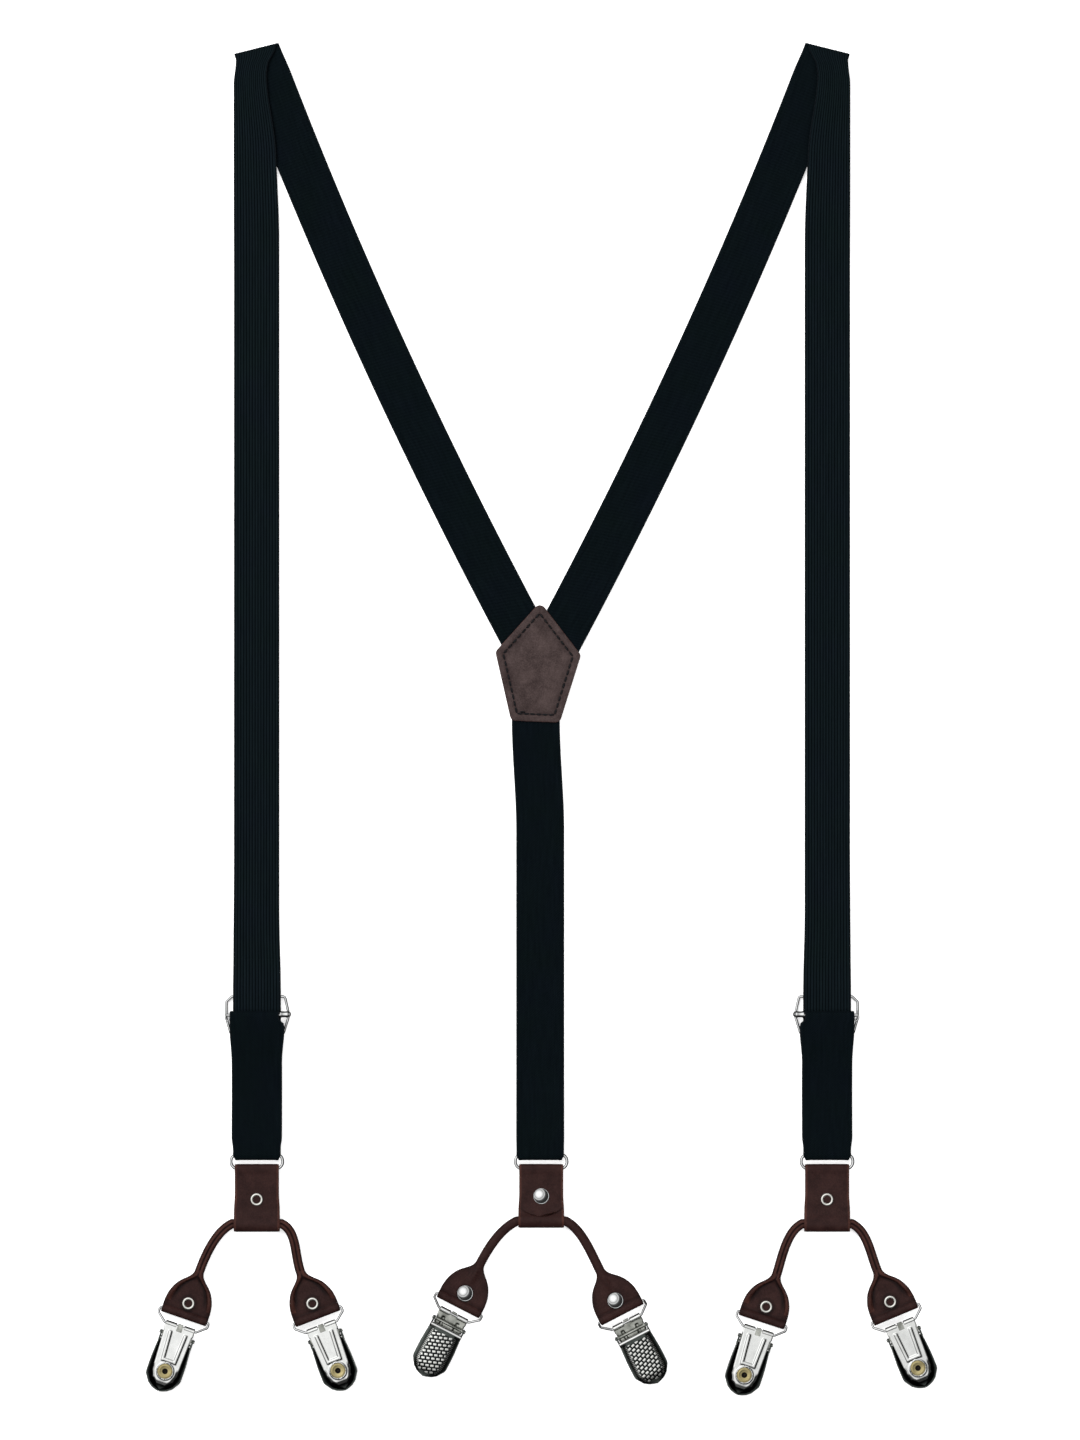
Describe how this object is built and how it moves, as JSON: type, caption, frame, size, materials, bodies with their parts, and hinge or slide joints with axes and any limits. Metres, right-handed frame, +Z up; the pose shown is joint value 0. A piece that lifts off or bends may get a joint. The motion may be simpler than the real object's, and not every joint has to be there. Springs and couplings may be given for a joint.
{
  "type": "suspenders",
  "caption": "Y-back elastic suspenders with a leather back patch, sliding adjusters, wire rings, rolled leather yokes and lever clips, laid flat with the shoulders folded.",
  "frame": {"origin": "on the underside of the leather back patch, on the middle line of the strap layout", "axes": "+Y runs up the back to the shoulder folds, +X to the wearer's side shown on the right, +Z up from the surface the suspenders lie on"},
  "size_m": [0.3945, 0.6744, 0.0078],
  "materials": {
    "webbing": "ribbed and twilled elastic webbing",
    "patch_leather": "matt, fine grain",
    "tab_leather": "smooth, slightly waxy",
    "chrome": "bright plating",
    "nickel": "polished nickel",
    "gunmetal": "dark plated, fine embossed basket pattern",
    "lever_steel": "satin",
    "brass": "worn satin",
    "grip_rubber": "ribbed"
  },
  "bodies": {
    "root": {"patch_back": "patch_leather", "patch_front": "patch_leather", "left_diagonal_strap": "webbing", "right_diagonal_strap": "webbing", "back_strap": "webbing"},
    "left_front": {"left_front_strap": "webbing"},
    "left_loop": {"left_loop_strap": "webbing"},
    "left_adjuster": {"left_adjuster_frame": "chrome"},
    "left_adjuster_lever": {"left_adjuster_lever": "lever_steel"},
    "right_front": {"right_front_strap": "webbing"},
    "right_loop": {"right_loop_strap": "webbing"},
    "right_adjuster": {"right_adjuster_frame": "chrome"},
    "right_adjuster_lever": {"right_adjuster_lever": "lever_steel"},
    "left_ring": {"left_ring": "chrome"},
    "left_tab": {"left_tab": "tab_leather", "left_tab_rivet": "nickel"},
    "left_yoke": {"left_yoke": "tab_leather", "left_yoke_rivets": "nickel"},
    "right_ring": {"right_ring": "chrome"},
    "right_tab": {"right_tab": "tab_leather", "right_tab_rivet": "nickel"},
    "right_yoke": {"right_yoke": "tab_leather", "right_yoke_rivets": "nickel"},
    "back_ring": {"back_ring": "chrome"},
    "back_tab": {"back_tab": "tab_leather", "back_tab_rivet": "nickel"},
    "back_yoke": {"back_yoke": "tab_leather", "back_yoke_rivets": "nickel"},
    "left_outer_bail": {"left_outer_bail": "chrome"},
    "left_outer_clip": {"left_outer_clip_plate": "chrome", "left_outer_grip_pad": "grip_rubber", "left_outer_clip_rivet": "brass"},
    "left_outer_cover": {"left_outer_clip_cover": "gunmetal"},
    "left_inner_bail": {"left_inner_bail": "chrome"},
    "left_inner_clip": {"left_inner_clip_plate": "chrome", "left_inner_grip_pad": "grip_rubber", "left_inner_clip_rivet": "brass"},
    "left_inner_cover": {"left_inner_clip_cover": "gunmetal"},
    "right_inner_bail": {"right_inner_bail": "chrome"},
    "right_inner_clip": {"right_inner_clip_plate": "chrome", "right_inner_grip_pad": "grip_rubber", "right_inner_clip_rivet": "brass"},
    "right_inner_cover": {"right_inner_clip_cover": "gunmetal"},
    "right_outer_bail": {"right_outer_bail": "chrome"},
    "right_outer_clip": {"right_outer_clip_plate": "chrome", "right_outer_grip_pad": "grip_rubber", "right_outer_clip_rivet": "brass"},
    "right_outer_cover": {"right_outer_clip_cover": "gunmetal"},
    "back_left_bail": {"back_left_bail": "chrome"},
    "back_left_clip": {"back_left_clip_plate": "chrome", "back_left_grip_pad": "grip_rubber", "back_left_clip_rivet": "brass"},
    "back_left_cover": {"back_left_clip_cover": "gunmetal"},
    "back_right_bail": {"back_right_bail": "chrome"},
    "back_right_clip": {"back_right_clip_plate": "chrome", "back_right_grip_pad": "grip_rubber", "back_right_clip_rivet": "brass"},
    "back_right_cover": {"back_right_clip_cover": "gunmetal"}
  },
  "joints": [
    {"name": "left_shoulder_fold", "type": "hinge", "parent": "root", "child": "left_front", "pos_m": [-0.1424, 0.3045, 0.00245], "axis": [-0.9703, -0.2419, 0], "range_deg": [0, 175]},
    {"name": "left_strap_length", "type": "slide", "parent": "left_front", "child": "left_loop", "axis": [0, -1, 0], "range_m": [-0.12, 0.03], "deforming": ["left_front_strap"]},
    {"name": "left_adjuster_slide", "type": "slide", "parent": "left_loop", "child": "left_adjuster", "axis": [0, -1, 0], "range_m": [-0.12, 0.03], "deforming": ["left_loop_strap"]},
    {"name": "left_adjuster_lever_tilt", "type": "hinge", "parent": "left_adjuster", "child": "left_adjuster_lever", "pos_m": [-0.1424, -0.1682, 0.0012], "axis": [1, 0, 0], "range_deg": [0, 70]},
    {"name": "right_shoulder_fold", "type": "hinge", "parent": "root", "child": "right_front", "pos_m": [0.1424, 0.3045, 0.00245], "axis": [-0.9703, 0.2419, 0], "range_deg": [0, 175]},
    {"name": "right_strap_length", "type": "slide", "parent": "right_front", "child": "right_loop", "axis": [0, -1, 0], "range_m": [-0.12, 0.03], "deforming": ["right_front_strap"]},
    {"name": "right_adjuster_slide", "type": "slide", "parent": "right_loop", "child": "right_adjuster", "axis": [0, -1, 0], "range_m": [-0.12, 0.03], "deforming": ["right_loop_strap"]},
    {"name": "right_adjuster_lever_tilt", "type": "hinge", "parent": "right_adjuster", "child": "right_adjuster_lever", "pos_m": [0.1424, -0.1682, 0.0012], "axis": [1, 0, 0], "range_deg": [0, 70]},
    {"name": "left_ring_swing", "type": "hinge", "parent": "left_loop", "child": "left_ring", "pos_m": [-0.1424, -0.2469, 0.0034], "axis": [1, 0, 0], "range_deg": [-60, 60]},
    {"name": "left_tab_swing", "type": "hinge", "parent": "left_ring", "child": "left_tab", "pos_m": [-0.1424, -0.2541, 0.0034], "axis": [1, 0, 0], "range_deg": [-60, 60]},
    {"name": "left_yoke_slide", "type": "slide", "parent": "left_tab", "child": "left_yoke", "axis": [1, 0, 0], "range_m": [-0.001, 0.001]},
    {"name": "right_ring_swing", "type": "hinge", "parent": "right_loop", "child": "right_ring", "pos_m": [0.1424, -0.2469, 0.0034], "axis": [1, 0, 0], "range_deg": [-60, 60]},
    {"name": "right_tab_swing", "type": "hinge", "parent": "right_ring", "child": "right_tab", "pos_m": [0.1424, -0.2541, 0.0034], "axis": [1, 0, 0], "range_deg": [-60, 60]},
    {"name": "right_yoke_slide", "type": "slide", "parent": "right_tab", "child": "right_yoke", "axis": [1, 0, 0], "range_m": [-0.001, 0.001]},
    {"name": "back_ring_swing", "type": "hinge", "parent": "root", "child": "back_ring", "pos_m": [-0.0004, -0.2469, 0.0034], "axis": [1, 0, 0], "range_deg": [-60, 60]},
    {"name": "back_tab_swing", "type": "hinge", "parent": "back_ring", "child": "back_tab", "pos_m": [-0.0004, -0.2541, 0.0034], "axis": [1, 0, 0], "range_deg": [-60, 60]},
    {"name": "back_yoke_slide", "type": "slide", "parent": "back_tab", "child": "back_yoke", "axis": [1, 0, 0], "range_m": [-0.001, 0.001]},
    {"name": "left_outer_bail_swing", "type": "hinge", "parent": "left_yoke", "child": "left_outer_bail", "pos_m": [-0.17855, -0.32726, 0.0034], "axis": [0.9455, -0.3256, 0], "range_deg": [-40, 40]},
    {"name": "left_outer_clip_swing", "type": "hinge", "parent": "left_outer_bail", "child": "left_outer_clip", "pos_m": [-0.18055, -0.33306, 0.0052], "axis": [0.9455, -0.3256, 0], "range_deg": [-35, 35]},
    {"name": "left_outer_cover_open", "type": "hinge", "parent": "left_outer_clip", "child": "left_outer_cover", "pos_m": [-0.18224, -0.33798, 0.0033], "axis": [0.9455, -0.3256, 0], "range_deg": [0, 80]},
    {"name": "left_inner_bail_swing", "type": "hinge", "parent": "left_yoke", "child": "left_inner_bail", "pos_m": [-0.11234, -0.32728, 0.0034], "axis": [0.9336, 0.3584, 0], "range_deg": [-40, 40]},
    {"name": "left_inner_clip_swing", "type": "hinge", "parent": "left_inner_bail", "child": "left_inner_clip", "pos_m": [-0.11014, -0.33302, 0.0052], "axis": [0.9336, 0.3584, 0], "range_deg": [-35, 35]},
    {"name": "left_inner_cover_open", "type": "hinge", "parent": "left_inner_clip", "child": "left_inner_cover", "pos_m": [-0.10828, -0.33787, 0.0033], "axis": [0.9336, 0.3584, 0], "range_deg": [0, 80]},
    {"name": "right_inner_bail_swing", "type": "hinge", "parent": "right_yoke", "child": "right_inner_bail", "pos_m": [0.11005, -0.32899, 0.0034], "axis": [0.9511, -0.309, 0], "range_deg": [-40, 40]},
    {"name": "right_inner_clip_swing", "type": "hinge", "parent": "right_inner_bail", "child": "right_inner_clip", "pos_m": [0.10816, -0.33483, 0.0052], "axis": [0.9511, -0.309, 0], "range_deg": [-35, 35]},
    {"name": "right_inner_cover_open", "type": "hinge", "parent": "right_inner_clip", "child": "right_inner_cover", "pos_m": [0.10655, -0.33978, 0.0033], "axis": [0.9511, -0.309, 0], "range_deg": [0, 80]},
    {"name": "right_outer_bail_swing", "type": "hinge", "parent": "right_yoke", "child": "right_outer_bail", "pos_m": [0.17633, -0.32631, 0.0034], "axis": [0.9225, 0.3859, 0], "range_deg": [-40, 40]},
    {"name": "right_outer_clip_swing", "type": "hinge", "parent": "right_outer_bail", "child": "right_outer_clip", "pos_m": [0.1787, -0.33198, 0.0052], "axis": [0.9225, 0.3859, 0], "range_deg": [-35, 35]},
    {"name": "right_outer_cover_open", "type": "hinge", "parent": "right_outer_clip", "child": "right_outer_cover", "pos_m": [0.18071, -0.33677, 0.0033], "axis": [0.9225, 0.3859, 0], "range_deg": [0, 80]},
    {"name": "back_left_bail_swing", "type": "hinge", "parent": "back_yoke", "child": "back_left_bail", "pos_m": [-0.04128, -0.3218, 0.0034], "axis": [0.8894, -0.4571, 0], "range_deg": [-40, 40]},
    {"name": "back_left_clip_swing", "type": "hinge", "parent": "back_left_bail", "child": "back_left_clip", "pos_m": [-0.0441, -0.32729, 0.0017], "axis": [0.8894, -0.4571, 0], "range_deg": [-35, 35]},
    {"name": "back_left_cover_open", "type": "hinge", "parent": "back_left_clip", "child": "back_left_cover", "pos_m": [-0.04648, -0.33192, 0.0036], "axis": [-0.8894, 0.4571, 0], "range_deg": [0, 80]},
    {"name": "back_right_bail_swing", "type": "hinge", "parent": "back_yoke", "child": "back_right_bail", "pos_m": [0.03949, -0.3254, 0.0034], "axis": [0.8886, 0.4587, 0], "range_deg": [-40, 40]},
    {"name": "back_right_clip_swing", "type": "hinge", "parent": "back_right_bail", "child": "back_right_clip", "pos_m": [0.04232, -0.33088, 0.0017], "axis": [0.8886, 0.4587, 0], "range_deg": [-35, 35]},
    {"name": "back_right_cover_open", "type": "hinge", "parent": "back_right_clip", "child": "back_right_cover", "pos_m": [0.0447, -0.3355, 0.0036], "axis": [-0.8886, -0.4587, 0], "range_deg": [0, 80]}
  ],
  "couplings": [
    {"joint": "left_adjuster_slide", "follows": "left_strap_length", "ratio": 1},
    {"joint": "right_adjuster_slide", "follows": "right_strap_length", "ratio": 1}
  ]
}
